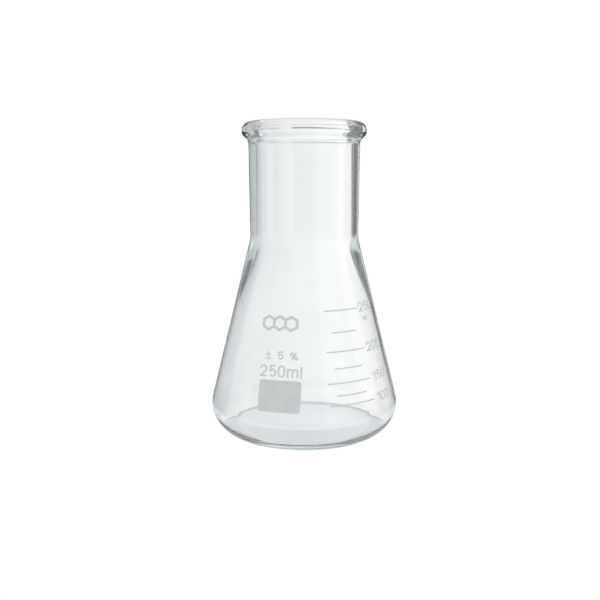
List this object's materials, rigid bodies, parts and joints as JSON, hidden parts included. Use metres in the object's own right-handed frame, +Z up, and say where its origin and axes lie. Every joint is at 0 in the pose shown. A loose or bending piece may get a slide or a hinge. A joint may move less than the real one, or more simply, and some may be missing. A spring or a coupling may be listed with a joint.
{
  "type": "erlenmeyer flask",
  "caption": "Conical glass laboratory flask with a wide neck, a beaded rim and a printed volume scale, for mixing, heating and holding liquids.",
  "frame": {"origin": "middle of the base, on the surface the flask stands on", "axes": "+Z up the flask's axis through the mouth; the front, midway between label and scale, faces -Y; +X towards the volume scale"},
  "size_m": [0.085, 0.085, 0.14],
  "materials": {
    "glass": "clear fire-polished borosilicate glass, faint green-grey tint in the thick edges",
    "enamel": "fired ceramic enamel, pale grey-green, matt"
  },
  "bodies": {
    "root": {"glass_vessel": "glass", "marking_spot": "enamel", "capacity_mark": "enamel", "tolerance_mark": "enamel", "maker_symbol": "enamel", "unit_mark": "enamel", "numeral_250": "enamel", "numeral_200": "enamel", "numeral_150": "enamel", "numeral_100": "enamel", "graduation_line_250": "enamel", "graduation_line_225": "enamel", "graduation_line_200": "enamel", "graduation_line_175": "enamel", "graduation_line_150": "enamel", "graduation_line_125": "enamel", "graduation_line_100": "enamel"}
  },
  "joints": []
}
